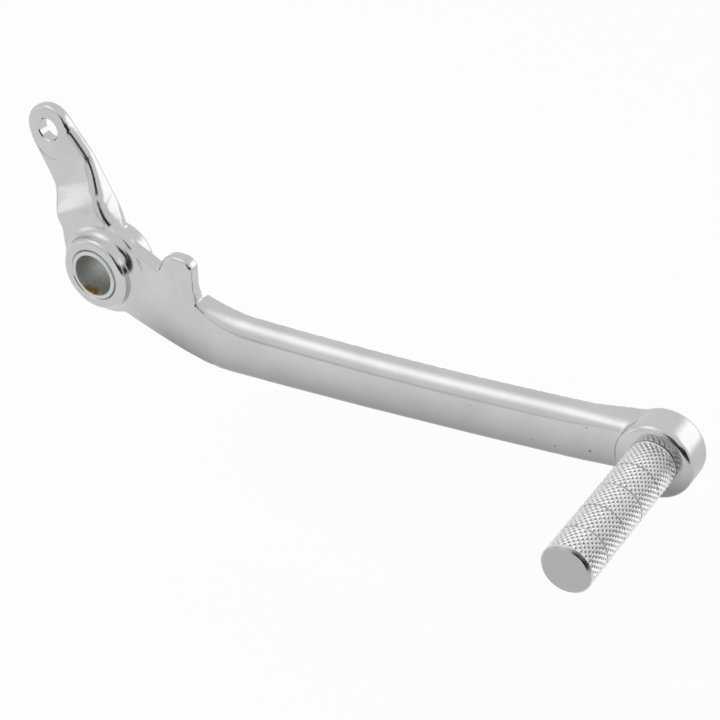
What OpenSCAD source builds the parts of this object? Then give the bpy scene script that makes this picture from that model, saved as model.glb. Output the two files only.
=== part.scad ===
// Motorcycle rear brake pedal: one forged and machined arm, a pressed pivot bush and a knurled toe peg.
// Frame: origin on the pivot axis at the middle of the hub, +X towards the toe peg, -Y outboard, +Z up.

/* [Pivot hub] */
// Diameter of the shaft that the pedal turns on
shaft_d = 16; // [12:0.5:20]
// Wall of the pressed bush
bush_wall = 1.55; // [1:0.05:2.5]
// Height that the bush stands proud of each hub face
bush_proud = 0.4; // [0.1:0.1:1]
// Length of the hub along the pivot
hub_len = 19.2; // [16:0.2:26]
// Outside diameter of the hub
hub_d = 28.4; // [26:0.2:34]
// Rounding of the hub's rims
hub_round = 1.2; // [0.4:0.1:2]
// Chamfer at the mouths of the bores
bore_chamfer = 0.75; // [0.2:0.05:1]
// Diameter of the web around the hub
web_d = 37; // [34:0.5:46]
// Thickness of the web
web_t = 5; // [3:0.2:8]
// Depth of the web's outboard face below the hub's outboard face
web_set = 5.8; // [2:0.2:8]

/* [Operating lever] */
// Distance from the pivot to the rod eye
lever_len = 53.7; // [46:0.5:75]
// Angle of the lever above the forward direction
lever_angle = 119.1; // [100:0.5:140]
// Thickness of the lever
lever_t = 5; // [3:0.2:7]
// Sideways step of the lever towards the inboard side
lever_step = 6.2; // [2:0.2:8]
// Distance from the pivot to the start of the step
step_start = 23; // [20:0.5:26]
// Length of the step along the lever
step_len = 13.5; // [8:0.5:18]
// Radius of the lever's end around the rod eye
eye_r = 9.7; // [8:0.1:12]
// Diameter of the rod eye
eye_d = 8.5; // [5:0.5:10]
// Half width of the lever on its rear side
lever_rear_w = 9.9; // [8:0.1:12]
// Half width of the lever on its front side
lever_front_w = 12.2; // [9:0.1:14]
// Half width of the spine behind the lever's foot
spine_w = 9.5; // [6:0.1:9.8]
// Fillet between the lever's front side and the web
lever_fillet = 12; // [6:1:18]
// Fillet between the lever's rear side and the web
rear_fillet = 50; // [12:1:60]
// Rounding of the lever's outboard edges
lever_round = 1.8; // [0.5:0.1:2]
// Radius of the spot face around the rod eye
spot_r = 9; // [7:0.1:11]
// Depth of the spot face
spot_depth = 0.3; // [0.1:0.05:0.6]
// Travel of the spot face towards the pivot
spot_travel = 2.9; // [0:0.1:5]

/* [Stop lug] */
// Distance of the lug's centre ahead of the pivot
lug_x = 33.1; // [30:0.5:38]
// Height of the lug's centre above the pivot
lug_z = 7.7; // [5:0.5:12]
// Radius of the lug's round top
lug_r = 7.2; // [5:0.1:9]
// Chamfer round the lug's outboard edge
lug_chamfer = 1; // [0.3:0.1:1.5]
// Radius of the scallop milled between the lug and the arm
scallop_r = 6; // [4:0.5:8]

/* [Arm] */
// Depth of the arm from its crown to its back
arm_t = 8.2; // [7:0.2:12]
// Height of the parting edge above the web's inboard face, measured outboard
parting_set = 0.7; // [0.6:0.1:1.5]
// Distance from the pivot to the knee
knee_x = 50; // [44:0.5:60]
// Drop of the knee's lower corner below the pivot
knee_drop = 28.7; // [26:0.1:36]
// Height of the arm at its waist, just past the knee
waist_h = 23.1; // [20:0.1:28]
// Height of the arm where it meets the toe boss
toe_h = 20.2; // [16:0.2:22]
// Upward bow of the arm between the knee and the toe boss
arm_bow = 1.5; // [0:0.1:4]
// Distance from the pivot at which the machined back of the web ends
relief_x = 41.2; // [39:0.2:43]
// Chamfer along the arm's inboard edges
back_chamfer = 0.6; // [0.3:0.1:1]

/* [Toe boss] */
// Distance of the toe peg ahead of the pivot
toe_x = 220.2; // [150:0.1:260]
// Height of the toe peg above the pivot
toe_z = -1.2; // [-20:0.1:30]
// Diameter of the toe boss
boss_d = 26.8; // [24:0.2:32]
// Length of the toe boss along the peg
boss_len = 13.8; // [12:0.2:18]
// Height of the boss's outboard face above the arm's crown
boss_proud = 1.8; // [0.6:0.1:3]
// Rounding of the boss's rims
boss_round = 1.7; // [0.6:0.1:3]
// Fillet between the arm's edges and the boss
boss_fillet = 12; // [6:1:20]

/* [Toe peg] */
// Diameter of the peg over its knurl
peg_d = 16.9; // [12:0.1:20]
// Length of the peg from the boss's face to its end
peg_len = 60.6; // [40:0.2:70]
// Number of knurled bands
bands = 5; // [3:1:5]
// Distance from one ring groove to the next
band_pitch = 12; // [8:0.1:12.2]
// Width of the undercut beside the boss
undercut_w = 0.6; // [0.4:0.1:1.5]
// Distance from the boss's face to the far side of the first ring groove
first_groove = 13.8; // [10:0.1:14]
// Number of knurl ridges round the peg
ridges = 27; // [20:1:30]
// Length of one knurl diamond along the peg
diamond_len = 2.24; // [1.8:0.02:3]
// Depth of the knurl's pits
knurl_depth = 0.55; // [0.2:0.05:0.7]
// Width of the ring grooves between the bands
groove_w = 0.9; // [0.5:0.1:2]
// Depth of the ring grooves
groove_depth = 0.6; // [0.3:0.05:1]
// Chamfer at the peg's end
peg_chamfer = 1; // [0.4:0.1:2]
// Diameter of the peg's spigot in the toe boss
spigot_d = 10; // [8:0.5:12]

/* [Hidden] */
forged = "gainsboro";
steel = "silver";
plated = "lightsteelblue";
tiny = 0.01;
overlap = 1;
round_steps = 5;
section_steps = 18;

hub_front = -hub_len / 2;
bush_od = shaft_d + 2 * bush_wall;
bush_len = hub_len + 2 * bush_proud;
web_r = web_d / 2;
web_front = hub_front + web_set;
web_back = web_front + web_t;
lever_front = web_front + lever_step;
lever_back = lever_front + lever_t;
eye_x = lever_len * cos(lever_angle);
eye_z = lever_len * sin(lever_angle);
arm_back = web_front + arm_t;
parting = web_back - parting_set;
boss_r = boss_d / 2;
boss_front = web_front - boss_proud;
boss_back = boss_front + boss_len;

// Parabola over x between two points, dipping by sag in the middle
function dip(a, b, sag, x) =
    let (t = (x - a[0]) / (b[0] - a[0])) a[1] + (b[1] - a[1]) * t - 4 * sag * t * (1 - t);
// Smooth rise from 0 to 1
function rise(t) = let (c = max(0, min(1, t))) c * c * (3 - 2 * c);
// Closed solid through rings that all have the same number of points
// With crests, each facet is split along its longer diagonal, so ridges run on unbroken
function ring_faces(rings, crests) = let (count = len(rings), n = len(rings[0])) concat(
    [[for (j = [0:n - 1]) n - 1 - j]],
    [for (i = [0:count - 2], j = [0:n - 1])
        let (k = (j + 1) % n, a = i * n + j, b = i * n + k, c = a + n, d = b + n,
            longer = norm(rings[i][j] - rings[i + 1][k]) > norm(rings[i][k] - rings[i + 1][j]) + tiny / 10)
        each crests && longer ? [[a, b, d], [a, d, c]] : [[a, b, c], [b, d, c]]],
    [[for (j = [0:n - 1]) (count - 1) * n + j]]);
module loft(rings, crests = false) {
    polyhedron([for (r = rings) each r], ring_faces(rings, crests), convexity = 6);
}
// Half profile of a round body about its axis, with rounded rims: [radius, height]
function rim_profile(r, low, high, rim) = concat(
    [[0, low]],
    [for (i = [0:round_steps]) let (a = 90 * i / round_steps)
        [r - rim + rim * sin(a), low + rim - rim * cos(a)]],
    [for (i = [0:round_steps]) let (a = 90 * i / round_steps)
        [r - rim + rim * cos(a), high - rim + rim * sin(a)]],
    [[0, high]]);
// Turns a revolved body from the Z axis to the Y axis, with its height running inboard
module along_y() {
    rotate([-90, 0, 0]) children();
}
module round_body(r, low, high, rim) {
    along_y() rotate_extrude($fn = 120) polygon(rim_profile(r, low, high, rim));
}
// Through bore along Y with a chamfer at both mouths
module bore(d, low, high, chamfer) {
    along_y() {
        translate([0, 0, low - overlap]) cylinder(d = d, h = high - low + 2 * overlap, $fn = 96);
        translate([0, 0, low - tiny])
            cylinder(d1 = d + 2 * chamfer, d2 = d - tiny, h = chamfer + tiny, $fn = 96);
        translate([0, 0, high - chamfer])
            cylinder(d1 = d - tiny, d2 = d + 2 * chamfer, h = chamfer + tiny, $fn = 96);
    }
}

// Upper and lower outlines of the arm over x
arm_root = [12, 12.5];
arm_neck = [knee_x - 16, -knee_drop + waist_h + 6.8];
arm_waist = [knee_x + 14, -knee_drop + waist_h + 1.1];
arm_heel = [2, -web_r + 2.3];
knee = [knee_x, -knee_drop];
toe_offset = 2;
toe_top = [toe_x, toe_z + toe_offset + toe_h / 2];
toe_low = [toe_x, toe_z + toe_offset - toe_h / 2];
neck_dip = 1.8;
heel_belly = 1.1;
function plain_top(x) =
    x < arm_neck[0] ? dip(arm_root, arm_neck, 0, x)
    : x < arm_waist[0] ? dip(arm_neck, arm_waist, neck_dip, x)
    : dip(arm_waist, toe_top, arm_bow + 0.4, x);
function plain_low(x) =
    x < knee[0] ? dip(arm_heel, knee, heel_belly, x) : dip(knee, toe_low, arm_bow - 0.4, x);
// Fillet between an edge line and the toe boss, above it for side 1 and below it for side -1
function edge_slope(side) = side > 0
    ? (plain_top(toe_x) - plain_top(toe_x - boss_d)) / boss_d
    : (plain_low(toe_x - boss_d) - plain_low(toe_x)) / boss_d;
function edge_height(side) = side > 0 ? plain_top(toe_x) - toe_z : toe_z - plain_low(toe_x);
function fillet_offset(side) =
    let (s = edge_slope(side), q = 1 + s * s,
        a = edge_height(side) + boss_fillet * sqrt(q), c = boss_r + boss_fillet)
    (-a * s - sqrt(a * a * s * s - q * (a * a - c * c))) / q;
function toe_edge(side, x) =
    let (s = edge_slope(side), q = sqrt(1 + s * s), u = fillet_offset(side), v = x - toe_x,
        reach = boss_r / (boss_r + boss_fillet), start = u + boss_fillet * s / q,
        height = edge_height(side) + s * u + boss_fillet * q)
    v < start ? edge_height(side) + s * v
    : v < u * reach ? height - sqrt(boss_fillet * boss_fillet - (v - u) * (v - u))
    : sqrt(boss_r * boss_r - v * v) - tiny;
blend_x = toe_x - boss_d;
function arm_top(x) = x < blend_x ? plain_top(x) : toe_z + toe_edge(1, x);
function arm_low(x) = x < blend_x ? plain_low(x) : toe_z - toe_edge(-1, x);

// Cross-section of the arm: a flat back with a short land, and a crowned outboard side
function arm_section(x, back) =
    let (high = arm_top(x), low = arm_low(x), mid = (high + low) / 2, half = (high - low) / 2,
        power = 0.25 + 0.5 * rise((x - lug_x) / knee_x))
    concat(
        [for (i = [0:section_steps]) let (a = 180 * i / section_steps, h = -cos(a))
            [x, parting - (parting - web_front) * pow(sin(a), power),
                mid + half * sign(h) * pow(abs(h), power)]],
        [[x, back - back_chamfer, high], [x, back, high - back_chamfer],
            [x, back, low + back_chamfer], [x, back - back_chamfer, low]]);
module arm_blade() {
    root = [for (i = [0:7]) arm_heel[0] + 2 + (relief_x - 2.3 - arm_heel[0]) * i / 7];
    bend = [for (i = [0:7]) relief_x + 0.3 + (arm_waist[0] - relief_x) * i / 7];
    blade = [for (i = [1:10]) arm_waist[0] + 0.3 + (blend_x - arm_waist[0]) * i / 10];
    flare = [for (i = [1:10]) blend_x + (boss_d - 5) * i / 10];
    loft(concat(
        [for (x = root) arm_section(x, web_back)],
        [for (x = concat(bend, blade)) arm_section(x, arm_back)],
        [for (x = flare) arm_section(x, arm_back
            + (boss_back - boss_round - arm_back) * rise((x - blend_x) / (boss_d - 8)))]));
}

// Half width of the lever at distance s from the pivot, tangent to the web through a fillet
function side_w(s, w, fillet) =
    let (reach = sqrt(pow(web_r + fillet, 2) - pow(w + fillet, 2)))
    s > lever_len ? sqrt(max(0, eye_r * eye_r - pow(s - lever_len, 2)))
    : s > reach ? eye_r + (w - eye_r) * rise((lever_len - s) / (lever_len - reach) * 1.6)
    : s > reach * web_r / (web_r + fillet) ? w + fillet - sqrt(fillet * fillet - pow(reach - s, 2))
    : sqrt(web_r * web_r - s * s) - tiny;
// Section of the lever at distance s: rounded outboard edges, and a flat back that narrows to the spine
function lever_section(s) =
    let (front = web_front + lever_step * rise((s - step_start) / step_len), edge = lever_round,
        rear = -side_w(s, lever_rear_w, rear_fillet), fore = side_w(s, lever_front_w, lever_fillet),
        taper = rise((step_start + step_len - s) / step_len), seam = front + lever_t - back_chamfer,
        rear_back = (rear + back_chamfer) * (1 - taper) - spine_w * taper,
        fore_back = (fore - back_chamfer) * (1 - taper) + spine_w * taper,
        place = function(w, y) [s * cos(lever_angle) + w * sin(lever_angle), y,
            s * sin(lever_angle) - w * cos(lever_angle)])
    concat(
        [for (i = [0:3]) let (a = 30 * i)
            place(fore - edge + edge * cos(a), front + edge - edge * sin(a))],
        [for (i = [0:3]) let (a = 30 * i)
            place(rear + edge - edge * sin(a), front + edge - edge * cos(a))],
        [place(rear, seam), place(rear_back, lever_back), place(fore_back, lever_back), place(fore, seam)]);
foot_s = 10;
module lever_blade() {
    foot = [for (i = [0:6]) foot_s + (step_start - 1 - foot_s) * i / 6];
    bend = [for (i = [0:8]) step_start + step_len * i / 8];
    shank = [for (i = [1:5]) step_start + step_len + (lever_len - step_start - step_len) * i / 5];
    tip = [for (i = [1:7]) lever_len + eye_r * sin(11 * i)];
    loft([for (s = concat(foot, bend, shank, tip)) lever_section(s)]);
}

// Tab on top of the arm, with a flat milled front edge and a chamfered outboard rim
lug_slant = 35;
lug_edge = lug_x + lug_r;
module lug_outline(inset) {
    reach = lug_r - inset;
    translate([lug_x, lug_z]) circle(r = reach, $fn = 96);
    difference() {
        polygon([[lug_x - lug_r - 5 + inset, -2], [lug_x - reach * cos(lug_slant), lug_z + reach * sin(lug_slant)],
            [lug_x, lug_z], [lug_edge - inset, lug_z], [lug_edge - inset, lug_z - 3],
            [lug_edge + scallop_r - 2, -2], [lug_edge, -knee_drop / 2], [lug_x - lug_r, -knee_drop / 2]]);
        translate([lug_edge + scallop_r, lug_z - 3.2]) circle(r = scallop_r + inset, $fn = 96);
    }
}
module stop_lug() {
    rotate([90, 0, 0]) translate([0, 0, -web_back]) linear_extrude(web_t - lug_chamfer) lug_outline(0);
    rotate([90, 0, 0]) translate([0, 0, -web_back]) linear_extrude(web_t) lug_outline(lug_chamfer);
}

module pedal_arm() {
    color(forged) difference() {
        union() {
            round_body(hub_d / 2, hub_front, -hub_front, hub_round);
            round_body(web_r, web_front, web_back, hub_round);
            lever_blade();
            arm_blade();
            stop_lug();
            translate([toe_x, 0, toe_z]) round_body(boss_r, boss_front, boss_back, boss_round);
        }
        bore(bush_od, hub_front, -hub_front, bore_chamfer);
        translate([eye_x, 0, eye_z]) bore(eye_d, lever_front + spot_depth, lever_back, bore_chamfer / 2);
        translate([eye_x, 0, eye_z]) spot_face();
        translate([toe_x, 0, toe_z])
            bore(spigot_d, boss_front, boss_back, bore_chamfer / 2);
    }
}
// Machined seat for the rod's fork, drawn down the lever
module spot_face() {
    along = [-cos(lever_angle), 0, -sin(lever_angle)];
    for (travel = [0, spot_travel])
        translate(travel * along) translate([0, lever_front - overlap, 0])
            along_y() cylinder(r = spot_r, h = overlap + spot_depth, $fn = 96);
}

module pivot_bush() {
    inner = shaft_d / 2;
    outer = bush_od / 2;
    half = bush_len / 2;
    lead = bush_wall / 4;
    color(steel) along_y() rotate_extrude($fn = 120)
        polygon([[inner + lead, -half], [outer - lead, -half], [outer, lead - half], [outer, half - lead],
            [outer - lead, half], [inner + lead, half], [inner, half - lead], [inner, lead - half]]);
}

// Ring of the peg at depth y, with the given radius at even and odd points
function peg_ring(y, even, odd) =
    [for (i = [0:2 * ridges - 1]) let (a = 180 * i / ridges, r = i % 2 == 0 ? even : odd)
        [toe_x + r * cos(a), y, toe_z + r * sin(a)]];
module toe_peg() {
    crest = peg_d / 2;
    pit = crest - knurl_depth;
    neck = crest - groove_depth;
    spigot = spigot_d / 2;
    spigot_end = boss_back - bore_chamfer / 2;
    peg_end = boss_front - peg_len;
    color(plated) loft(concat(
        [peg_ring(spigot_end, spigot - 0.5, spigot - 0.5)],
        [peg_ring(spigot_end - 0.5, spigot, spigot)],
        [peg_ring(boss_front, spigot, spigot)],
        [peg_ring(boss_front - tiny, neck, neck)],
        [for (b = [0:bands - 1])
            let (start = b == 0 ? boss_front - undercut_w : boss_front - first_groove - (b - 1) * band_pitch,
                end = b < bands - 1 ? boss_front - first_groove - b * band_pitch + groove_w
                    : peg_end + peg_chamfer,
                rows = round((start - end) / diamond_len * 2), row = (start - end) / rows)
            each concat(
                [peg_ring(start + tiny, neck, neck)],
                [for (k = [0:rows]) let (flip = (k + b) % 2)
                    peg_ring(start - k * row, flip == 0 ? crest : pit, flip == 0 ? pit : crest)],
                b == bands - 1 ? [] : [peg_ring(end - tiny, neck, neck)])],
        [peg_ring(peg_end, crest - peg_chamfer, crest - peg_chamfer)]), crests = true);
}

pedal_arm();
pivot_bush();
toe_peg();
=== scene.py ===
import math

import bpy
import bmesh
from mathutils import Matrix, Vector

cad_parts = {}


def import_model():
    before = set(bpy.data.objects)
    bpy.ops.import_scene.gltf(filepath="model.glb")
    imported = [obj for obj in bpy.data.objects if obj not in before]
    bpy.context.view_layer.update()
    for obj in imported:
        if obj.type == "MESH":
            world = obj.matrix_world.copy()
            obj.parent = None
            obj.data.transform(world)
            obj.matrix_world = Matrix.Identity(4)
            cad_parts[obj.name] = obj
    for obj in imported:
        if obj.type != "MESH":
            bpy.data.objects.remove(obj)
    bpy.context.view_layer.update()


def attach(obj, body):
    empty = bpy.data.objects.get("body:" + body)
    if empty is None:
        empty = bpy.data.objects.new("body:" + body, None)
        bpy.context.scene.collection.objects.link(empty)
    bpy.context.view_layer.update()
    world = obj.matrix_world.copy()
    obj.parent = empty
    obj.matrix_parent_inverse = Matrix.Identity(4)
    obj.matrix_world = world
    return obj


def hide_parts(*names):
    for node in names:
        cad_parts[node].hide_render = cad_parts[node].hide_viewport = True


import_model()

MM = 0.001

# How near a point or an edge lies to the place that it is picked by, in millimetres
HAIR = 0.01

# How far a cutting tool runs past a face, in millimetres
CLEAR = 2

# Facets round a turned form
FACETS = 128

# Sizes of the pedal in millimetres, as its solids have them. The pivot's axis is Y, and outboard is -Y.
BORE_R = 8.0
BUSH_R = 9.55
BUSH_END = 10
HUB_FACE = 9.6
WEB_R = 18.5
WEB_FRONT = -3.8
WEB_BACK = 1.2
EYE_REACH = 53.7
EYE_END_R = 9.7
EYE_R = 4.25
SEAT_DEPTH = 0.15
LEVER_FRONT = 2.4
LEVER_BACK = 7.4
LEVER_TURN = math.radians(119.1)
ARM_BACK = 4.4
TOE = (220.2, -1.2)
BOSS_FRONT = -5.6
BOSS_BACK = 8.2
BOSS_R = 13.4
PEG_R = 8.45
PEG_END = -66.2
NECK_R = 8.0
SPIGOT_R = 5.0
PIT_DEPTH = 0.62
SADDLE_DEPTH = 0.22
GROOVES = 4
GROOVE_PITCH = 12
GROOVE_R = 7.75
GROOVE_HALF = 0.32
FIRST_GROOVE = -18.95
EYE = (EYE_REACH * math.cos(LEVER_TURN), EYE_REACH * math.sin(LEVER_TURN))


# Bench tools

def drop_selection():
    if bpy.context.object and bpy.context.object.mode != "OBJECT":
        bpy.ops.object.mode_set(mode="OBJECT")
    bpy.ops.object.select_all(action="DESELECT")


def take(*pieces):
    drop_selection()
    for piece in pieces:
        piece.select_set(True)
    bpy.context.view_layer.objects.active = pieces[0]
    return pieces[0]


def settle(piece):
    """Puts the piece's place into its mesh, and its object at the origin."""
    take(piece)
    bpy.ops.object.transform_apply(location=True, rotation=True, scale=True)
    return piece


def pick(piece, wanted):
    """In edit mode, selects the points, or the edges by their middle and direction, that pass the test."""
    mesh = bmesh.from_edit_mesh(piece.data)
    for part in list(mesh.verts) + list(mesh.edges) + list(mesh.faces):
        part.select = False
    if bpy.context.tool_settings.mesh_select_mode[1]:
        for edge in mesh.edges:
            a, b = edge.verts
            edge.select = wanted((a.co + b.co) / 2, (b.co - a.co).normalized())
    else:
        for vert in mesh.verts:
            vert.select = wanted(vert.co, vert.normal)
    mesh.select_flush_mode()
    bmesh.update_edit_mesh(piece.data)


def edit(piece, kind):
    take(piece)
    bpy.ops.object.mode_set(mode="EDIT")
    bpy.ops.mesh.select_mode(type=kind)


def done(piece):
    bpy.ops.object.mode_set(mode="OBJECT")
    return piece


def outward(piece):
    edit(piece, "FACE")
    bpy.ops.mesh.select_all(action="SELECT")
    bpy.ops.mesh.normals_make_consistent(inside=False)
    return done(piece)


def smooth(piece, degrees):
    """Shades the piece smooth, apart from edges that turn by more than this."""
    take(piece)
    bpy.ops.object.shade_smooth_by_angle(angle=math.radians(degrees))
    return piece


def disc(name, x, z, r, front, back, rim=0.0, steps=FACETS, rim_steps=4):
    """A turned blank about Y, with its two rims rounded."""
    middle = (front + back) / 2 * MM
    drop_selection()
    bpy.ops.mesh.primitive_cylinder_add(vertices=steps, radius=r * MM, depth=(back - front) * MM,
                                        location=(x * MM, middle, z * MM), rotation=(math.pi / 2, 0, 0))
    piece = bpy.context.object
    piece.name = name
    settle(piece)
    if rim:
        half = (back - front) / 2 * MM
        edit(piece, "EDGE")
        pick(piece, lambda at, way: abs(abs(at.y - middle) - half) < HAIR * MM)
        bpy.ops.mesh.bevel(offset=rim * MM, segments=rim_steps, affect="EDGES", clamp_overlap=True)
        done(piece)
    return piece


def draw_rings(x, z, start, rings):
    """Draws what is selected out along Y. A ring is a (y, radius), and so is the start."""
    y, r = start
    for next_y, next_r in rings:
        bpy.ops.mesh.extrude_region_move(TRANSFORM_OT_translate={"value": (0, (next_y - y) * MM, 0)})
        bpy.ops.transform.resize(value=(next_r / r, 1, next_r / r),
                                 center_override=(x * MM, next_y * MM, z * MM))
        y, r = next_y, next_r


def turned(name, x, z, outline):
    """A body turned about Y. The outline holds (y, radius), from its outboard end."""
    y, r = outline[0]
    drop_selection()
    bpy.ops.mesh.primitive_circle_add(vertices=FACETS, radius=r * MM, fill_type="NGON",
                                      location=(x * MM, y * MM, z * MM), rotation=(math.pi / 2, 0, 0))
    piece = bpy.context.object
    piece.name = name
    settle(piece)
    edit(piece, "FACE")
    bpy.ops.mesh.select_all(action="SELECT")
    draw_rings(x, z, outline[0], outline[1:])
    done(piece)
    return outward(piece)


def cut(piece, *tools):
    """Takes each tool's shape out of the piece, and the tool with it."""
    for tool in tools:
        take(piece)
        trim = piece.modifiers.new("trim", "BOOLEAN")
        trim.operation = "DIFFERENCE"
        trim.solver = "MANIFOLD"
        trim.object = tool
        bpy.ops.object.modifier_apply(modifier=trim.name)
        take(tool)
        bpy.ops.object.delete()
    return piece


def joined(name, *pieces):
    first = take(*pieces)
    bpy.ops.object.join()
    first.name = name
    return first


def drawn_out(name, front, back_at, stations, top_round, low_round, rear_round=0.5, draft=0.0):
    """A bar drawn along X through stations (x, low, high), with its back at back_at(x).

    Draft lifts the lower edge of its back.
    """
    x, low, high = stations[0]
    back = back_at(x)
    middle = (high + low) / 2
    drop_selection()
    bpy.ops.mesh.primitive_plane_add(size=1, location=(0, 0, 0), rotation=(0, math.pi / 2, 0))
    piece = bpy.context.object
    piece.name = name
    settle(piece)
    edit(piece, "VERT")
    bpy.ops.mesh.select_all(action="SELECT")
    bpy.ops.transform.resize(value=(1, (back - front) * MM, (high - low) * MM))
    bpy.ops.transform.translate(value=(x * MM, (front + back) / 2 * MM, middle * MM))
    pick(piece, lambda at, way: at.y > (back - HAIR) * MM and at.z < middle * MM)
    bpy.ops.transform.translate(value=(0, 0, draft * MM))
    for upper, size in ((True, top_round), (False, low_round)):
        pick(piece, lambda at, way: at.y < (front + HAIR) * MM and (at.z > middle * MM) == upper)
        bpy.ops.mesh.bevel(offset=size * MM, segments=12, affect="VERTICES", clamp_overlap=True)
    if rear_round:
        pick(piece, lambda at, way: at.y > (back - HAIR) * MM)
        bpy.ops.mesh.bevel(offset=rear_round * MM, segments=2, affect="VERTICES", clamp_overlap=True)
    bpy.ops.mesh.select_mode(type="FACE")
    bpy.ops.mesh.select_all(action="SELECT")
    for next_x, next_low, next_high in stations[1:]:
        next_back = back_at(next_x)
        lift = ((next_high + next_low) - (high + low)) / 2
        bpy.ops.mesh.extrude_region_move(
            TRANSFORM_OT_translate={"value": ((next_x - x) * MM, 0, lift * MM)})
        bpy.ops.transform.resize(
            value=(1, (next_back - front) / (back - front), (next_high - next_low) / (high - low)),
            center_override=(next_x * MM, front * MM, (next_high + next_low) / 2 * MM))
        x, low, high, back = next_x, next_low, next_high, next_back
    done(piece)
    return outward(piece)


def shoulder_heights(piece, stations, share):
    """Makes the upper shoulder lower or higher at each station, from its top line."""
    edit(piece, "VERT")
    for x, low, high in stations:
        pick(piece, lambda at, way: abs(at.x - x * MM) < HAIR * MM and at.z > (low + high) / 2 * MM)
        bpy.ops.transform.resize(value=(1, 1, share(x)), center_override=(x * MM, 0, high * MM))
    return done(piece)


def turned_to_lever(piece):
    """Turns a piece that was drawn along X up to the lever's angle."""
    piece.data.transform(Matrix.Rotation(-LEVER_TURN, 4, "Y"))
    return piece


# Finishes

def finish(name, colour, metal, rough):
    material = bpy.data.materials.new(name)
    material.use_nodes = True
    shader = material.node_tree.nodes["Principled BSDF"]
    shader.inputs["Base Color"].default_value = (*colour, 1)
    shader.inputs["Metallic"].default_value = metal
    shader.inputs["Roughness"].default_value = rough
    return material, material.node_tree, shader


def node(tree, kind, **values):
    made = tree.nodes.new(kind)
    for key, value in values.items():
        if key in made.inputs:
            made.inputs[key].default_value = value
        else:
            setattr(made, key, value)
    return made


def place(tree, scale=(1, 1, 1)):
    where = node(tree, "ShaderNodeTexCoord")
    mapping = node(tree, "ShaderNodeMapping")
    mapping.inputs["Scale"].default_value = scale
    tree.links.new(where.outputs["Object"], mapping.inputs["Vector"])
    return mapping.outputs["Vector"]


def millimetres(tree):
    """The X, Y and Z of a point of the piece, in millimetres."""
    split = node(tree, "ShaderNodeSeparateXYZ")
    tree.links.new(place(tree, (1 / MM, 1 / MM, 1 / MM)), split.inputs[0])
    return split.outputs


def noise(tree, scale, detail, stretch=(1, 1, 1)):
    made = node(tree, "ShaderNodeTexNoise", Scale=scale, Detail=detail)
    tree.links.new(place(tree, stretch), made.inputs["Vector"])
    return made.outputs["Fac"]


def ramp(tree, value, low, high, out_low, out_high):
    made = node(tree, "ShaderNodeMapRange")
    made.inputs["From Min"].default_value = low
    made.inputs["From Max"].default_value = high
    made.inputs["To Min"].default_value = out_low
    made.inputs["To Max"].default_value = out_high
    tree.links.new(value, made.inputs["Value"])
    return made.outputs["Result"]


def sums(tree, operation, a, b):
    made = node(tree, "ShaderNodeMath", operation=operation)
    for slot, value in ((0, a), (1, b)):
        if isinstance(value, (int, float)):
            made.inputs[slot].default_value = value
        else:
            tree.links.new(value, made.inputs[slot])
    return made.outputs[0]


def blend_colour(tree, amount, a, b):
    made = node(tree, "ShaderNodeMix", data_type="RGBA")
    tree.links.new(amount, made.inputs[0])
    for slot, value in ((6, a), (7, b)):
        if isinstance(value, tuple):
            made.inputs[slot].default_value = (*value, 1)
        else:
            tree.links.new(value, made.inputs[slot])
    return made.outputs[2]


def bump(tree, shader, height, strength):
    """Roughens the surface by a tenth of a millimetre, at the given strength."""
    made = node(tree, "ShaderNodeBump", Strength=strength, Distance=0.1 * MM)
    tree.links.new(height, made.inputs["Height"])
    tree.links.new(made.outputs["Normal"], shader.inputs["Normal"])


def mixed(tree, share, first, second):
    """Makes the surface of the first shader, and of the second by the given share."""
    both = node(tree, "ShaderNodeMixShader")
    tree.links.new(share, both.inputs[0])
    tree.links.new(first.outputs[0], both.inputs[1])
    tree.links.new(second.outputs[0], both.inputs[2])
    tree.links.new(both.outputs[0], tree.nodes["Material Output"].inputs["Surface"])


def near(tree, x, y, z, size):
    """1 at a point of the piece, falling to 0 at the given distance in millimetres."""
    made = node(tree, "ShaderNodeVectorMath", operation="DISTANCE")
    tree.links.new(place(tree), made.inputs[0])
    made.inputs[1].default_value = (x * MM, y * MM, z * MM)
    return ramp(tree, made.outputs["Value"], size * 0.6 * MM, size * MM, 1, 0)


def axis_distance(tree, at, x, z):
    """Distance in millimetres from an axis along Y."""
    across = sums(tree, "POWER", sums(tree, "SUBTRACT", at["X"], x), 2)
    upward = sums(tree, "POWER", sums(tree, "SUBTRACT", at["Z"], z), 2)
    return sums(tree, "POWER", sums(tree, "ADD", across, upward), 0.5)


# Pits in the arm's outboard face near the toe: x, z and size
SPECKS = [(186.1, -8.6, 0.34), (198.4, -5.8, 0.5), (196.4, 2.6, 0.3), (177.7, -9.4, 0.25),
          (154.3, -4.1, 0.25)]

# Lines along the arm's lower edge, under the web and under the span: slope, and height at the pivot
LOWER_EDGE = [(-0.254, -15.9), (0.1115, -34.2)]
# How far up from the arm's lower edge the painted shade and the added roughness reach, in millimetres
SHADE_AND_DULL_HEIGHT = 17

# Old grease in the bush: x, y, z and size
GREASE = (-2.3, -9.5, -7.6, 3.9)


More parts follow.
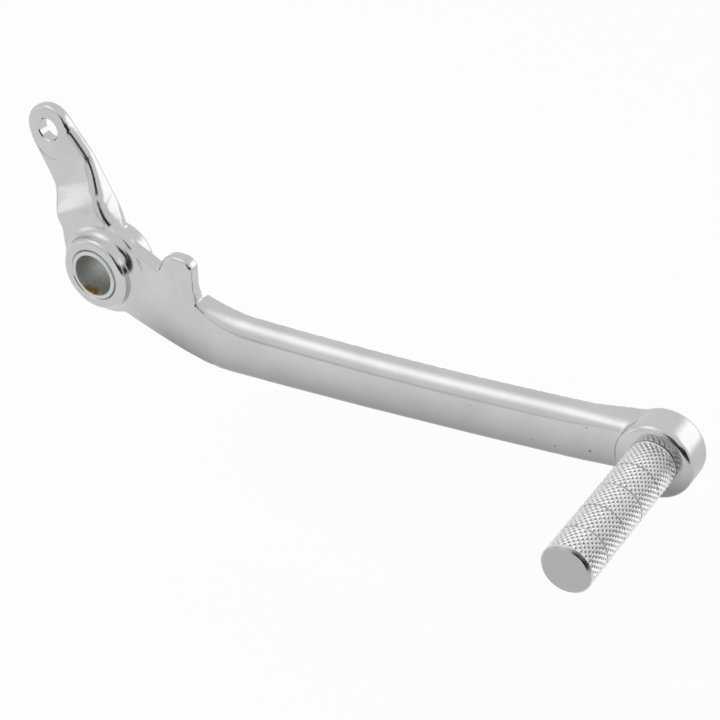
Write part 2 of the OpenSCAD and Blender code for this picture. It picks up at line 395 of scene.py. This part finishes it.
def polished_forging():
    """Polished metal with faint clouds, wipe marks and a few specks; painted shade darkens the arm's lower
    edge, which is also rougher.
    """
    deep, pale = (0.545, 0.54, 0.548), (0.6, 0.595, 0.603)
    # The first colour is painted shade for the arm's lower edge, the second the specks' pits
    painted_shade, pitted = (0.2, 0.198, 0.2), (0.12, 0.115, 0.11)
    material, tree, shader = finish("polished_forging", (0.57, 0.565, 0.572), 1.0, 0.15)
    metal = blend_colour(tree, ramp(tree, noise(tree, 60, 4), 0.3, 0.7, 0, 1), deep, pale)
    at = millimetres(tree)
    edges = [sums(tree, "ADD", sums(tree, "MULTIPLY", at["X"], slope), start) for slope, start in LOWER_EDGE]
    height = sums(tree, "SUBTRACT", at["Z"], sums(tree, "MAXIMUM", *edges))
    # Painted shade, strongest at the arm's lower edge and fading upward; the same mask also makes the metal
    # rougher there
    shade_and_dull = sums(tree, "MULTIPLY", sums(tree, "POWER", ramp(tree, height, 0, SHADE_AND_DULL_HEIGHT, 1, 0), 1.6),
                ramp(tree, at["X"], 8, 30, 0, 1))
    metal = blend_colour(tree, sums(tree, "MULTIPLY", shade_and_dull, 0.85), metal, painted_shade)
    marks = 0
    for x, z, size in SPECKS:
        marks = sums(tree, "MAXIMUM", near(tree, x, WEB_FRONT, z, size), marks)
    metal = blend_colour(tree, marks, metal, pitted)
    tree.links.new(metal, shader.inputs["Base Color"])
    haze = noise(tree, 260, 3)
    wipe = noise(tree, 900, 2, (0.08, 1, 1))
    satin = sums(tree, "ADD", ramp(tree, haze, 0.3, 0.7, 0.12, 0.19), ramp(tree, wipe, 0.3, 0.7, 0, 0.04))
    satin = sums(tree, "ADD", satin, sums(tree, "MULTIPLY", shade_and_dull, 0.12))
    tree.links.new(satin, shader.inputs["Roughness"])
    bump(tree, shader, sums(tree, "ADD", wipe, haze), 0.04)
    return material


def plated_bush():
    """Zinc plate, dull and speckled in the bore, with old grease low down by the mouth."""
    rim, dark_zinc, pale_zinc = (0.6, 0.625, 0.6), (0.3, 0.32, 0.295), (0.46, 0.475, 0.44)
    brown = (0.3, 0.17, 0.035)
    material, tree, shader = finish("plated_bush", (0.5, 0.51, 0.48), 0.8, 0.4)
    out = axis_distance(tree, millimetres(tree), 0, 0)
    bore = ramp(tree, out, BORE_R + 0.1, BORE_R + 0.4, 1, 0)
    speckle = ramp(tree, noise(tree, 1500, 4), 0.35, 0.65, 0, 1)
    plate = blend_colour(tree, bore, rim, blend_colour(tree, speckle, dark_zinc, pale_zinc))
    smear = ramp(tree, noise(tree, 420, 4), 0.32, 0.46, 0, 1)
    patch = sums(tree, "MULTIPLY", sums(tree, "MULTIPLY", near(tree, *GREASE), smear), bore)
    tree.links.new(blend_colour(tree, patch, plate, brown), shader.inputs["Base Color"])
    satin = sums(tree, "ADD", ramp(tree, bore, 0, 1, 0.3, 0.5), sums(tree, "MULTIPLY", speckle, 0.1))
    tree.links.new(satin, shader.inputs["Roughness"])
    bump(tree, shader, speckle, 0.15)
    return material


def machined_peg():
    """Light ridges over pits darkened by painted shade and dirt, with a plain turned end."""
    grey, light = (0.74, 0.735, 0.74), (0.84, 0.835, 0.84)
    # The second colour is painted shade with dirt, for the knurl's pits
    plain_end, shade_and_dirt_colour = (0.44, 0.435, 0.43), (0.08, 0.078, 0.075)
    material, tree, shader = finish("machined_peg", (0.6, 0.595, 0.58), 1.0, 0.28)
    at = millimetres(tree)
    out = axis_distance(tree, at, *TOE)
    pit = ramp(tree, out, PEG_R - PIT_DEPTH, PEG_R - 0.3, 1, 0)
    knurled = sums(tree, "MULTIPLY", ramp(tree, at["Y"], PEG_END + 0.3, PEG_END + 1.2, 0, 1),
                   ramp(tree, at["Y"], BOSS_FRONT, BOSS_FRONT + 1, 1, 0))
    # How far a point is from the nearest groove, as a share of their pitch
    turn = sums(tree, "MULTIPLY", sums(tree, "SUBTRACT", at["Y"], FIRST_GROOVE), 1 / GROOVE_PITCH)
    turn = sums(tree, "SUBTRACT", sums(tree, "FRACT", sums(tree, "ADD", turn, 0.5), 0), 0.5)
    band = ramp(tree, sums(tree, "ABSOLUTE", turn, 0), 0.028, 0.036, 0, 1)
    # Painted shade with dirt: the knurl's pits are darkened, apart from the grooves
    pit_shade_and_dirt = sums(tree, "MULTIPLY", sums(tree, "MULTIPLY", pit, knurled), band)
    tint = blend_colour(tree, ramp(tree, noise(tree, 500, 2), 0.35, 0.65, 0, 1), grey, light)
    tint = blend_colour(tree, knurled, plain_end, tint)
    tree.links.new(blend_colour(tree, pit_shade_and_dirt, tint, shade_and_dirt_colour), shader.inputs["Base Color"])
    grain = sums(tree, "MULTIPLY", ramp(tree, noise(tree, 900, 3), 0.3, 0.7, 0.36, 0.5),
                 ramp(tree, knurled, 0, 1, 0.45, 1))
    tree.links.new(sums(tree, "ADD", grain, sums(tree, "MULTIPLY", pit_shade_and_dirt, 0.3)), shader.inputs["Roughness"])
    turning = ramp(tree, sums(tree, "SINE", sums(tree, "MULTIPLY", out, 14), 0), -1, 1, 0, 1)
    bump(tree, shader, sums(tree, "MULTIPLY", turning, sums(tree, "SUBTRACT", 1, knurled)), 0.12)
    return material


def dress(piece, material, slot_name, *nodes):
    piece.data.materials.clear()
    piece.data.materials.append(material)
    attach(piece, "root")
    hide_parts(*nodes)


# The forging

# Stations along the arm in millimetres: x, lower edge and upper edge. The root lies in the web's plane.
ROOT = [(4, -16.9, 18.6), (8, -18.3, 15.9), (12, -19.6, 13.5), (16, -20.8, 11.7), (20, -22.0, 10.1),
        (24, -23.1, 8.3), (28, -24.1, 6.0), (32, -25.1, 3.4), (36, -26.0, 1.2), (39, -26.5, -0.3),
        (41, -26.8, -1.7), (44, -27.3, -3.4), (47, -27.5, -5.4)]
SPAN = [(41.4, -27.1, -1.5), (44, -27.6, -2.3), (47, -28.2, -3.0), (50, -28.6, -3.6), (53, -28.4, -4.1),
        (57, -28.1, -4.5), (62, -27.6, -4.6), (70, -26.9, -4.2), (84, -25.5, -3.4), (98, -24.1, -2.4),
        (112, -22.7, -1.4), (126, -21.1, -0.2), (140, -19.5, 1.1), (154, -17.9, 2.5), (168, -16.2, 4.1),
        (180, -14.7, 5.5), (190, -13.4, 6.7), (196, -12.6, 7.5), (200, -12.0, 8.1), (203, -11.6, 8.5),
        (206, -11.2, 8.9), (208, -11.2, 9.2), (210, -11.4, 9.5), (212, -12.1, 9.9), (214, -13.1, 10.7)]

# Stations along the lever: distance from the pivot, the edge towards the toe and the edge away from it
FLARE = [(9, -15.6, 15.0), (12, -14.45, 14.1), (15, -13.45, 12.8), (18, -12.75, 11.4), (21, -12.33, 10.6),
         (24, -12.05, 10.0), (27, -11.5, 9.4)]
SHANK = [(54, -9.65, 9.65), (52, -9.8, 9.7), (49, -10.3, 9.8), (46, -11.0, 9.85), (43, -11.6, 9.9)]
SHANK += [(40 - 1.5 * t, -12.2, 9.9 + 0.08 * t) for t in range(13)]
SHANK += [(20, -12.2, 10.9), (18, -12.2, 10.8), (16, -11.9, 10.5), (13, -11.3, 9.8), (9, -10.0, 9.3)]

# Where the lever steps inboard on each side: how far from the pivot it starts, and over what length
TOE_SIDE_STEP = (17.0, 21.5)
FAR_SIDE_STEP = (22.5, 12.5)

# The hub's outline: y and radius
HUB = [(-9.6, 12.7), (-9.5, 13.2), (-9.2, 13.65), (-8.7, 14.03), (-8.1, 14.2), (-7.0, 14.25), (-6.2, 14.45),
       (-5.5, 14.85), (-4.9, 15.4), (-4.4, 16.1), (-4.0, 17.0), (-3.7, 18.0), (-3.0, 18.0), (1.0, 18.0),
       (1.3, 14.2), (8.6, 14.2), (9.3, 13.9), (9.6, 13.2)]


def rise(t):
    """Goes from 0 to 1 with soft ends."""
    t = max(0.0, min(1.0, t))
    return t * t * (3 - 2 * t)


def step_front(s, start, length):
    """Where the lever's front face lies, from the web's face to the eye's."""
    t = max(0.0, min(1.0, (s - start) / length))
    return WEB_FRONT + (LEVER_FRONT - WEB_FRONT) * (0.15 * t + 0.85 * rise(t))


def lever_flare():
    """The lever's wide foot on the web. Its front and its back step inboard as the lever does."""
    flare = drawn_out("flare", WEB_FRONT, lambda s: WEB_BACK, FLARE, 1.2, 4.6, rear_round=0)
    edit(flare, "VERT")
    for s, low, high in FLARE[1:]:
        front_move = step_front(s, *TOE_SIDE_STEP) - WEB_FRONT
        back_move = (LEVER_BACK - WEB_BACK - 0.4) * rise((s - 9) / 13) - 2 * rise((s - 19) / 8)
        for behind, move in ((False, front_move), (True, back_move)):
            pick(flare, lambda at, way: abs(at.x - s * MM) < HAIR * MM
                 and (at.y > (WEB_BACK - 0.1) * MM) == behind)
            bpy.ops.transform.translate(value=(0, move * MM, 0))
    return done(flare)


def operating_lever():
    """The lever with its flare and its rod end, stepped inboard and turned up to its angle."""
    flare = lever_flare()
    lever = drawn_out("lever", LEVER_FRONT, lambda s: LEVER_BACK, SHANK, 1.0, 3.2, draft=0.3)
    edit(lever, "VERT")
    for s, low, high in SHANK:
        for toe_side, step in ((True, TOE_SIDE_STEP), (False, FAR_SIDE_STEP)):
            front = step_front(s, *step)
            pick(lever, lambda at, way: abs(at.x - s * MM) < HAIR * MM and (at.z < 0) == toe_side
                 and at.y < (LEVER_BACK - 1) * MM)
            bpy.ops.transform.translate(value=(0, (front - LEVER_FRONT) * MM, 0))
            if toe_side:
                swell = 1.5 - 0.5 * rise((s - 20) / 16)
                bpy.ops.transform.resize(value=(1, swell, swell),
                                         center_override=(s * MM, front * MM, low * MM))
    done(lever)
    eye = disc("eye", EYE_REACH, 0, EYE_END_R, LEVER_FRONT, LEVER_BACK, 1.6)
    return turned_to_lever(joined("lever", lever, flare, eye))


def stop_lug():
    """A bevelled block on a sloping foot, which has the round scallop cut out of it."""
    left, right, summit = 26.3, 40.4, 14.7
    middle = (left + right) / 2
    depth = WEB_BACK - WEB_FRONT
    web_middle = (WEB_FRONT + WEB_BACK) / 2
    drop_selection()
    bpy.ops.mesh.primitive_cube_add(size=1, location=(middle * MM, web_middle * MM, summit / 2 * MM))
    top = bpy.context.object
    top.scale = ((right - left) * MM, depth * MM, summit * MM)
    settle(top)
    edit(top, "EDGE")
    for side, size in ((-1, 6.6), (1, 4.4)):
        pick(top, lambda at, way: abs(way.y) > 0.9 and at.z > (summit - 0.1) * MM
             and (at.x - middle * MM) * side > 0)
        bpy.ops.mesh.bevel(offset=size * MM, segments=9, affect="EDGES")
    pick(top, lambda at, way: at.y < (WEB_FRONT + HAIR) * MM and at.z > 8 * MM)
    bpy.ops.mesh.bevel(offset=1.2 * MM, segments=3, affect="EDGES")
    done(top)
    drop_selection()
    bpy.ops.mesh.primitive_cube_add(size=1, location=(33.1 * MM, web_middle * MM, 1 * MM))
    foot = bpy.context.object
    edit(foot, "VERT")
    bpy.ops.mesh.select_all(action="SELECT")
    bpy.ops.transform.resize(value=(14.4 * MM, depth * MM, 14 * MM))
    for upper, ahead, along, up in ((True, False, 1.6, 3.9), (False, False, -5, 4), (False, True, 1.5, 0)):
        pick(foot, lambda at, way: (at.z > 0) == upper and (at.x > 0) == ahead)
        bpy.ops.transform.translate(value=(along * MM, 0, up * MM))
    done(foot)
    settle(foot)
    edit(foot, "EDGE")
    pick(foot, lambda at, way: at.y < (WEB_FRONT + HAIR) * MM)
    bpy.ops.mesh.bevel(offset=0.9 * MM, segments=2, affect="EDGES")
    done(foot)
    cut(foot, disc("scallop", 46.3, 4.5, 6.0, WEB_FRONT - CLEAR, WEB_BACK + CLEAR))
    return joined("lug", top, foot)


def forging():
    """Bars, turned blanks and the lug, grown into one skin and smoothed, and then machined."""
    root = drawn_out("root", WEB_FRONT, lambda x: WEB_BACK, ROOT, 3.8, 4.2, rear_round=0)
    shoulder_heights(root, ROOT, lambda x: 0.4 + 0.45 * rise((x - 36) / 8))
    span = drawn_out("span", WEB_FRONT, lambda x: ARM_BACK + 2.1 * rise((x - 194) / 18), SPAN, 7.3, 5.0)
    shoulder_heights(span, SPAN, lambda x: 0.55 + 0.6 * rise((x - 40) / 26) - 0.35 * rise((x - 185) / 20))
    lever = operating_lever()
    hub = turned("hub", 0, 0, HUB)
    web = disc("web", 0, 0, WEB_R, WEB_FRONT, WEB_BACK, 1.4)
    boss = disc("boss", *TOE, BOSS_R, BOSS_FRONT, BOSS_BACK, 2.1, rim_steps=5)
    pedal = joined("pedal", span, root, lever, hub, web, boss, stop_lug())
    skin = pedal.modifiers.new("skin", "REMESH")
    skin.mode = "VOXEL"
    skin.voxel_size = 0.5 * MM
    relax = pedal.modifiers.new("relax", "SMOOTH")
    relax.factor = 0.5
    relax.iterations = 7
    take(pedal)
    for modifier in (skin, relax):
        bpy.ops.object.modifier_apply(modifier=modifier.name)
    machine(pedal)
    return smooth(pedal, 32)


def machine(pedal):
    """The machined places: the rod eye's seat, and the bores with their chamfers."""
    seat = disc("seat", EYE_REACH, 0, 9.0, LEVER_FRONT - CLEAR, LEVER_FRONT + SEAT_DEPTH)
    edit(seat, "VERT")
    pick(seat, lambda at, way: at.x < (EYE_REACH - HAIR) * MM)
    bpy.ops.transform.translate(value=(-2.9 * MM, 0, 0))
    done(seat)
    cut(pedal, turned_to_lever(seat))
    cut(pedal, disc("hub_bore", 0, 0, BUSH_R, -HUB_FACE - CLEAR, HUB_FACE + CLEAR),
        disc("eye_bore", *EYE, EYE_R, LEVER_FRONT - CLEAR, LEVER_BACK + CLEAR, steps=96),
        disc("peg_bore", *TOE, SPIGOT_R, BOSS_FRONT - CLEAR, BOSS_BACK + CLEAR))
    for axis, r, face, way, size in (((0, 0), BUSH_R, -HUB_FACE, -1, 0.75),
                                     ((0, 0), BUSH_R, HUB_FACE, 1, 0.75),
                                     (EYE, EYE_R, LEVER_FRONT + SEAT_DEPTH, -1, 0.4),
                                     (EYE, EYE_R, LEVER_BACK, 1, 0.4),
                                     (TOE, SPIGOT_R, BOSS_BACK, 1, 0.4)):
        cut(pedal, cone(*axis, r, face, way, size))


def cone(x, z, r, face, way, size):
    """A countersink's tool. It opens outwards, and runs past the chamfer at both ends."""
    within, beyond = 0.2, 0.6
    depth = size + within + beyond
    middle = face + way * (beyond - depth / 2)
    drop_selection()
    bpy.ops.mesh.primitive_cone_add(vertices=FACETS, radius1=(r - within) * MM,
                                    radius2=(r + size + beyond) * MM, depth=depth * MM,
                                    location=(x * MM, middle * MM, z * MM),
                                    rotation=(-way * math.pi / 2, 0, 0))
    return settle(bpy.context.object)


# The peg

def round_edges_at(y):
    """A test for the edges that run round the peg at one place along it."""
    return lambda at, way: abs(at.y - y * MM) < HAIR * MM and abs(way.y) < 0.01


def knurled_tube(first, end):
    """Diamond knurl: nodes stand out, saddles lie between them, and each diamond's middle is a pit."""
    ring = 27
    rows = 26
    pitch = (first - end) / rows
    drop_selection()
    bpy.ops.mesh.primitive_circle_add(vertices=ring, radius=PEG_R * MM, fill_type="NOTHING",
                                      location=(TOE[0] * MM, first * MM, TOE[1] * MM),
                                      rotation=(math.pi / 2, 0, 0))
    piece = bpy.context.object
    piece.name = "knurled_peg"
    settle(piece)
    edit(piece, "EDGE")
    bpy.ops.mesh.select_all(action="SELECT")
    for row in range(rows):
        bpy.ops.mesh.extrude_region_move(TRANSFORM_OT_translate={"value": (0, -pitch * MM, 0)})
    bpy.ops.mesh.select_mode(type="FACE")
    bpy.ops.mesh.select_all(action="SELECT")
    bpy.ops.mesh.normals_make_consistent(inside=False)
    sag = PEG_R * (1 - math.cos(math.pi / ring))
    bpy.ops.mesh.poke(offset=sag * MM)

    def inside(at):
        return (first - HAIR) * MM > at.y > (end + HAIR) * MM

    # The poked squares lose their own edges, which leaves diamonds
    bpy.ops.mesh.select_mode(type="EDGE")
    pick(piece, lambda at, way: (abs(way.y) > 0.99 or abs(way.y) < 0.01) and inside(at))
    bpy.ops.mesh.dissolve_edges(use_verts=False)
    bpy.ops.mesh.select_all(action="SELECT")
    bpy.ops.mesh.subdivide(number_cuts=1)
    bpy.ops.mesh.select_mode(type="VERT")

    def half_steps(at):
        turn = math.atan2(at.z - TOE[1] * MM, at.x - TOE[0] * MM) / math.pi * ring
        return turn, (first * MM - at.y) / (pitch * MM) * 2

    nodes = bmesh.from_edit_mesh(piece.data).verts
    first_turn = half_steps(max(nodes, key=lambda vert: vert.co.y).co)[0]

    def pit(at, way):
        turn, row = half_steps(at)
        return inside(at) and abs(row - round(row)) < 0.2 and round(turn - first_turn + round(row)) % 2 == 1

    def saddle(at, way):
        turn, row = half_steps(at)
        return inside(at) and abs(row - round(row)) > 0.3

    for test, depth in ((saddle, SADDLE_DEPTH), (pit, PIT_DEPTH)):
        pick(piece, test)
        bpy.ops.transform.shrink_fatten(value=-depth * MM)
    return done(piece)


def peg():
    """The knurled tube with its chamfered end, its neck by the boss, its spigot and its grooves."""
    chamfer = 1.0
    first = BOSS_FRONT - 0.2
    end = PEG_END + chamfer
    piece = knurled_tube(first, end)
    edit(piece, "EDGE")
    pick(piece, round_edges_at(end))
    draw_rings(*TOE, (end, PEG_R), [(PEG_END, PEG_R - chamfer)])
    bpy.ops.mesh.edge_face_add()
    pick(piece, round_edges_at(first))
    draw_rings(*TOE, (first, PEG_R), [(first, NECK_R), (BOSS_FRONT, NECK_R), (BOSS_FRONT, SPIGOT_R),
                                      (BOSS_BACK - 0.4, SPIGOT_R)])
    bpy.ops.mesh.edge_face_add()
    done(piece)
    outward(piece)
    for groove in range(GROOVES):
        middle = FIRST_GROOVE - GROOVE_PITCH * groove
        band = disc("groove", *TOE, PEG_R + CLEAR, middle - GROOVE_HALF, middle + GROOVE_HALF)
        cut(band, disc("core", *TOE, GROOVE_R, middle - CLEAR, middle + CLEAR))
        cut(piece, band)
    return smooth(piece, 20)


# The bush

def bush():
    """The sleeve in the hub, a hair smaller than its bore."""
    piece = disc("bush", 0, 0, BUSH_R - HAIR, -BUSH_END, BUSH_END, 0.35, rim_steps=3)
    cut(piece, disc("bush_bore", 0, 0, BORE_R, -BUSH_END - CLEAR, BUSH_END + CLEAR))
    edit(piece, "EDGE")
    pick(piece, lambda at, way: abs(abs(at.y) - BUSH_END * MM) < HAIR * MM
         and math.hypot(at.x, at.z) < (BORE_R + 0.1) * MM)
    bpy.ops.mesh.bevel(offset=0.3 * MM, segments=3, affect="EDGES")
    done(piece)
    return smooth(piece, 40)


# The studio, in metres

# Each card: name, its direction from the pedal, distance, width, height, soft rim's share, brightness
CARDS = [("key_panel", (-0.45, -0.33, 0.82), 1.5, 1.7, 1.6, 0.42, 1.62),
         ("rear_panel", (0.62, 0.72, 0.30), 1.6, 1.5, 1.3, 0.25, 1.75),
         ("left_panel", (-0.82, -0.56, 0.12), 1.5, 0.9, 0.7, 0.3, 1.35),
         ("right_flag", (0.86, -0.49, 0.16), 0.9, 1.05, 0.58, 0.14, 0.02),
         ("front_flag", (0.42, -0.90, 0.02), 0.95, 0.75, 0.40, 0.12, 0.02),
         ("high_flag", (0.46, -0.72, 0.50), 1.0, 0.58, 0.74, 0.16, 0.02),
         ("low_flag", (-0.44, -0.89, 0.0), 1.1, 1.1, 0.36, 0.46, 0.6)]

WORLD_LEVEL = 0.92
FLOOR_HEIGHT = -0.1
FLOOR_GLOW = 0.8
LAMP_PLACE = (-0.35, -0.45, 0.65)
LAMP_WAY = (0.45, 0.45, -0.68)
LAMP_WATTS = 1.2


def card(name, way, distance, width, height, rim, brightness):
    """A panel or flag that only the metal sees. It faces the pedal, and its rim is soft."""
    drop_selection()
    way = Vector(way).normalized()
    bpy.ops.mesh.primitive_plane_add(size=1, location=way * distance)
    panel = bpy.context.object
    panel.name = name
    panel.rotation_euler = way.to_track_quat("Z", "Y").to_euler()
    panel.scale = (width, height, 1)
    material = bpy.data.materials.new(name)
    material.use_nodes = True
    tree = material.node_tree
    tree.nodes.remove(tree.nodes["Principled BSDF"])
    where = node(tree, "ShaderNodeTexCoord")
    split = node(tree, "ShaderNodeSeparateXYZ")
    tree.links.new(where.outputs["Object"], split.inputs[0])
    share = 1
    for side in "XY":
        out = sums(tree, "ABSOLUTE", split.outputs[side], 0)
        share = sums(tree, "MULTIPLY", ramp(tree, out, 0.5 - rim, 0.5, 1, 0), share)
    mixed(tree, share, node(tree, "ShaderNodeBsdfTransparent"),
          node(tree, "ShaderNodeEmission", Strength=brightness))
    panel.data.materials.append(material)
    panel.visible_camera = False
    panel.visible_diffuse = False
    panel.visible_shadow = False


def world():
    made = bpy.data.worlds.new("studio")
    bpy.context.scene.world = made
    made.use_nodes = True
    light = made.node_tree.nodes["Background"]
    light.inputs["Color"].default_value = (1, 1, 1, 1)
    light.inputs["Strength"].default_value = WORLD_LEVEL


def floor():
    """A pale floor that glows a little towards the camera and in the metal."""
    drop_selection()
    bpy.ops.mesh.primitive_plane_add(size=6, location=(0, 0, FLOOR_HEIGHT))
    ground = bpy.context.object
    ground.name = "floor"
    material, tree, shader = finish("pale_floor", (0.93, 0.93, 0.93), 0, 0.9)
    shader.inputs["Specular IOR Level"].default_value = 0
    seen = node(tree, "ShaderNodeLightPath").outputs
    looks = sums(tree, "ADD", seen["Is Camera Ray"], seen["Is Glossy Ray"])
    looks = sums(tree, "ADD", looks, seen["Is Transmission Ray"])
    mixed(tree, sums(tree, "MULTIPLY", looks, FLOOR_GLOW), shader,
          node(tree, "ShaderNodeEmission", Strength=1.0))
    ground.data.materials.append(material)


def key_lamp():
    """A soft lamp that lights the floor and the dull parts. The metal doesn't mirror it."""
    bpy.ops.object.light_add(type="AREA", location=LAMP_PLACE)
    lamp = bpy.context.object
    lamp.name = "key"
    lamp.data.shape = "RECTANGLE"
    lamp.data.size = 0.7
    lamp.data.size_y = 0.5
    lamp.data.energy = LAMP_WATTS
    lamp.visible_glossy = False
    lamp.rotation_euler = Vector(LAMP_WAY).to_track_quat("-Z", "Y").to_euler()


def studio():
    world()
    floor()
    for each in CARDS:
        card(*each)
    key_lamp()


# The photograph's camera, as it was solved: degrees, pixels, and the metres from it to the pivot's face
AZIMUTH = math.radians(31.9)
ELEVATION = math.radians(33.7)
PICTURE = 720
PIVOT_ACROSS = 93.5
PIVOT_DOWN = 275.2
PIVOT_DEPTH = 0.6587
LENS = 90
SENSOR = 36


def camera():
    right = Vector((math.cos(AZIMUTH), math.sin(AZIMUTH), 0))
    view = Vector((-math.sin(AZIMUTH) * math.cos(ELEVATION), math.cos(AZIMUTH) * math.cos(ELEVATION),
                   -math.sin(ELEVATION)))
    up = right.cross(view)
    pivot = Vector((0, -HUB_FACE * MM, 0))
    metres = PIVOT_DEPTH / (PICTURE * LENS / SENSOR)
    place_of_eye = (pivot - PIVOT_DEPTH * view - right * ((PIVOT_ACROSS - PICTURE / 2) * metres)
                    + up * ((PIVOT_DOWN - PICTURE / 2) * metres))
    drop_selection()
    bpy.ops.object.camera_add(location=place_of_eye)
    lens = bpy.context.object
    lens.rotation_euler = Matrix((right, up, -view)).transposed().to_euler()
    lens.data.lens = LENS
    lens.data.sensor_width = SENSOR
    lens.data.clip_start = 0.01
    bpy.context.scene.camera = lens


camera()
studio()
dress(forging(), polished_forging(), "polished_forging", "pedal_arm")
dress(bush(), plated_bush(), "plated_bush", "pivot_bush")
dress(peg(), machined_peg(), "machined_peg", "toe_peg")
bpy.context.scene.view_settings.view_transform = "Standard"
